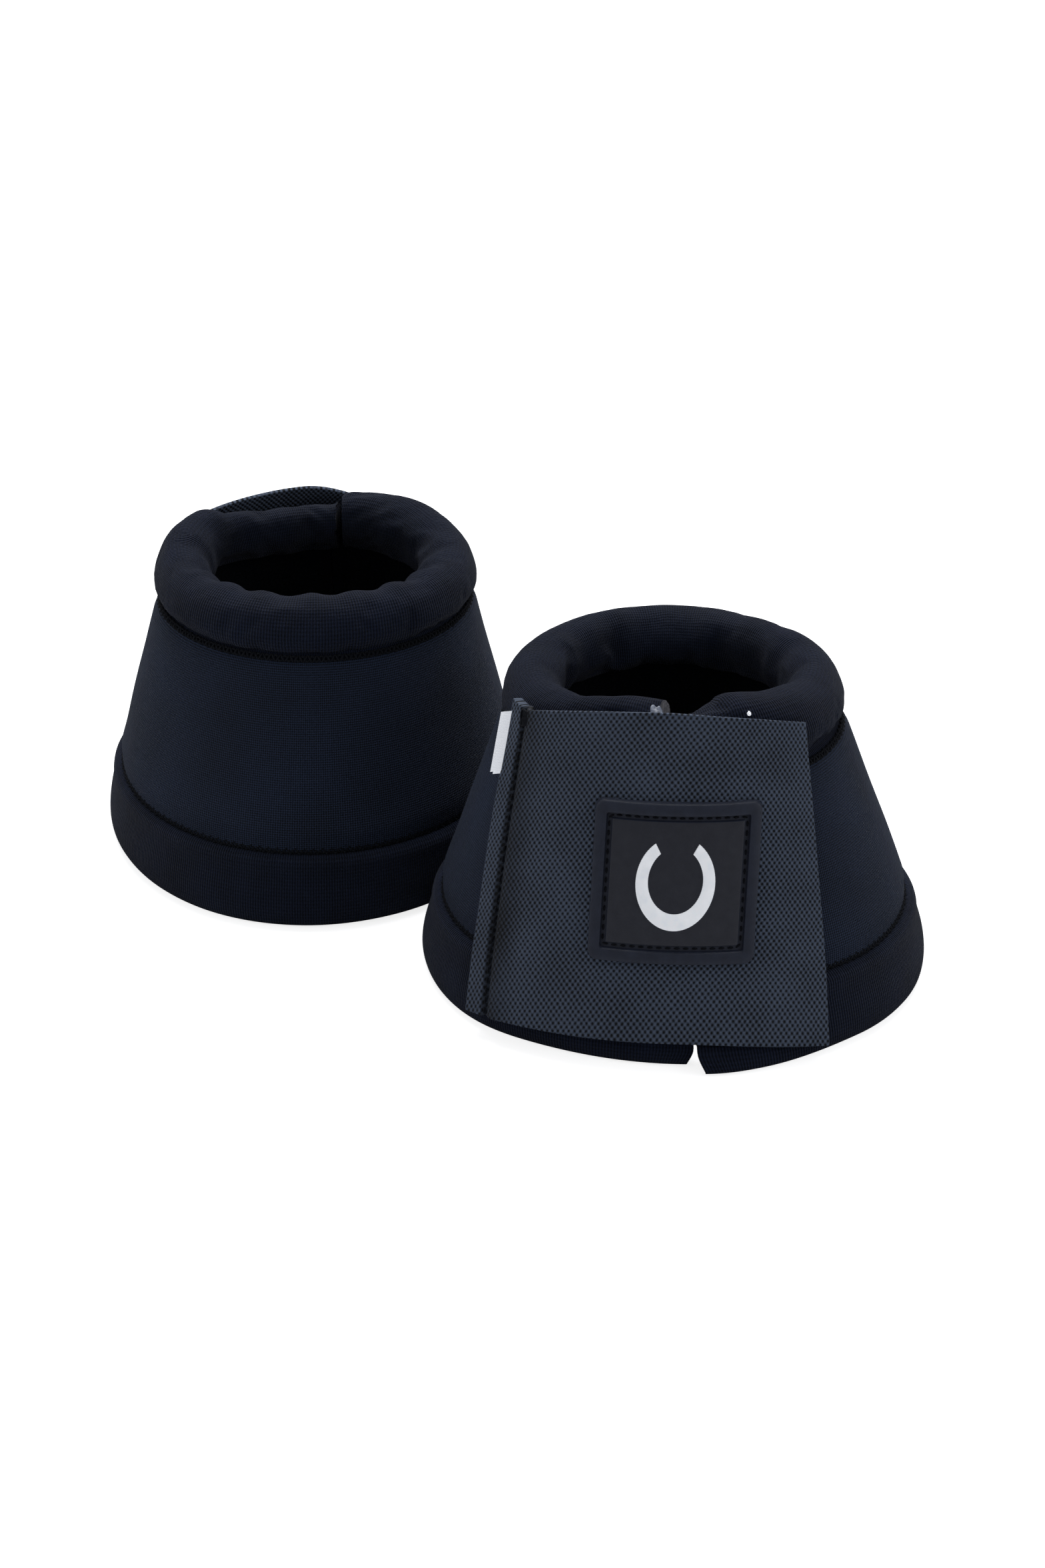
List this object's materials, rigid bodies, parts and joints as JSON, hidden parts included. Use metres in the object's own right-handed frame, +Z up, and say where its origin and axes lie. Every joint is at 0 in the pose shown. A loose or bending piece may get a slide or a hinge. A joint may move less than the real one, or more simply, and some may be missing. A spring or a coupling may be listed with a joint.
{
  "type": "pair of bell boots",
  "caption": "Soft flared hoof boots with padded roll collars, each a ring that opens at its front under a wide hook-and-loop strap.",
  "frame": {"origin": "middle of the pair's box, on the ground", "axes": "+X from the far boot towards the near boot's side, -Y the way the near boot's closure looks, +Z up"},
  "size_m": [0.3008, 0.2932, 0.116],
  "materials": {
    "woven_nylon": "dense diagonal weave, matte navy black",
    "rib_jersey": "fine vertical rib jersey, matte navy black",
    "neoprene": "closed-cell foam sheet, matte",
    "lining_jersey": "smooth black jersey",
    "foam": "soft dark grey foam with open cells",
    "thread": "twisted polyester thread, slight sheen",
    "webbing": "coarse basket-woven elastic webbing, matte",
    "hook_tape": "moulded hooks, black",
    "loop_tape": "napped loop pile, black",
    "rubber": "moulded soft rubber, satin",
    "white_rubber": "moulded soft rubber, satin white",
    "label_satin": "thin printed-label satin, blank white"
  },
  "bodies": {
    "near_left": {"near_cover_left": "woven_nylon", "near_core_left": "neoprene", "near_lining_left": "lining_jersey", "near_hem_left": "rib_jersey", "near_lower_overlock_left": "thread", "near_collar_sleeve_left": "rib_jersey", "near_collar_foam_left": "foam", "near_collar_tape_left": "rib_jersey", "near_upper_overlock_left": "thread", "near_strap_margin": "webbing", "near_strap_seam_thread": "thread", "near_label": "label_satin"},
    "near_right": {"near_cover_right": "woven_nylon", "near_core_right": "neoprene", "near_lining_right": "lining_jersey", "near_hem_right": "rib_jersey", "near_lower_overlock_right": "thread", "near_collar_sleeve_right": "rib_jersey", "near_collar_foam_right": "foam", "near_collar_tape_right": "rib_jersey", "near_upper_overlock_right": "thread", "near_loop_patch": "loop_tape"},
    "near_strap": {"near_strap": "webbing", "near_hook_patch": "hook_tape", "near_badge": "rubber", "near_badge_thread": "thread", "near_badge_emblem": "white_rubber"},
    "far_right": {"far_cover_right": "woven_nylon", "far_core_right": "neoprene", "far_lining_right": "lining_jersey", "far_hem_right": "rib_jersey", "far_lower_overlock_right": "thread", "far_collar_sleeve_right": "rib_jersey", "far_collar_foam_right": "foam", "far_collar_tape_right": "rib_jersey", "far_upper_overlock_right": "thread", "far_loop_patch": "loop_tape"},
    "far_left": {"far_cover_left": "woven_nylon", "far_core_left": "neoprene", "far_lining_left": "lining_jersey", "far_hem_left": "rib_jersey", "far_lower_overlock_left": "thread", "far_collar_sleeve_left": "rib_jersey", "far_collar_foam_left": "foam", "far_collar_tape_left": "rib_jersey", "far_upper_overlock_left": "thread", "far_strap_margin": "webbing", "far_strap_seam_thread": "thread", "far_label": "label_satin"},
    "far_strap": {"far_strap": "webbing", "far_hook_patch": "hook_tape", "far_badge": "rubber", "far_badge_thread": "thread", "far_badge_emblem": "white_rubber"}
  },
  "joints": [
    {"name": "near_shell_open", "type": "hinge", "parent": "near_left", "child": "near_right", "pos_m": [0.06703, 0.0209, 0], "axis": [0, 0, 1], "range_deg": [0, 56], "stiffness_Nm_per_rad": 0.05},
    {"name": "near_strap_peel", "type": "hinge", "parent": "near_left", "child": "near_strap", "pos_m": [-0.00379, -0.11902, 0.0275], "axis": [-0.1407, -0.3467, -0.9274], "range_deg": [0, 140]},
    {"name": "far_lift", "type": "slide", "parent": "near_left", "child": "far_right", "axis": [0, 0, 1], "range_m": [0, 0.25]},
    {"name": "far_shell_open", "type": "hinge", "parent": "far_right", "child": "far_left", "pos_m": [-0.06627, -0.04737, 0], "axis": [0, 0, 1], "range_deg": [0, 56], "stiffness_Nm_per_rad": 0.05},
    {"name": "far_strap_peel", "type": "hinge", "parent": "far_left", "child": "far_strap", "pos_m": [-0.12886, 0.10894, 0.0275], "axis": [0.0881, -0.4002, 0.9122], "range_deg": [0, 140]}
  ],
  "couplings": [
    {"joint": "near_strap_peel", "follows": "near_shell_open", "ratio": 2.5},
    {"joint": "far_strap_peel", "follows": "far_shell_open", "ratio": 2.5}
  ]
}
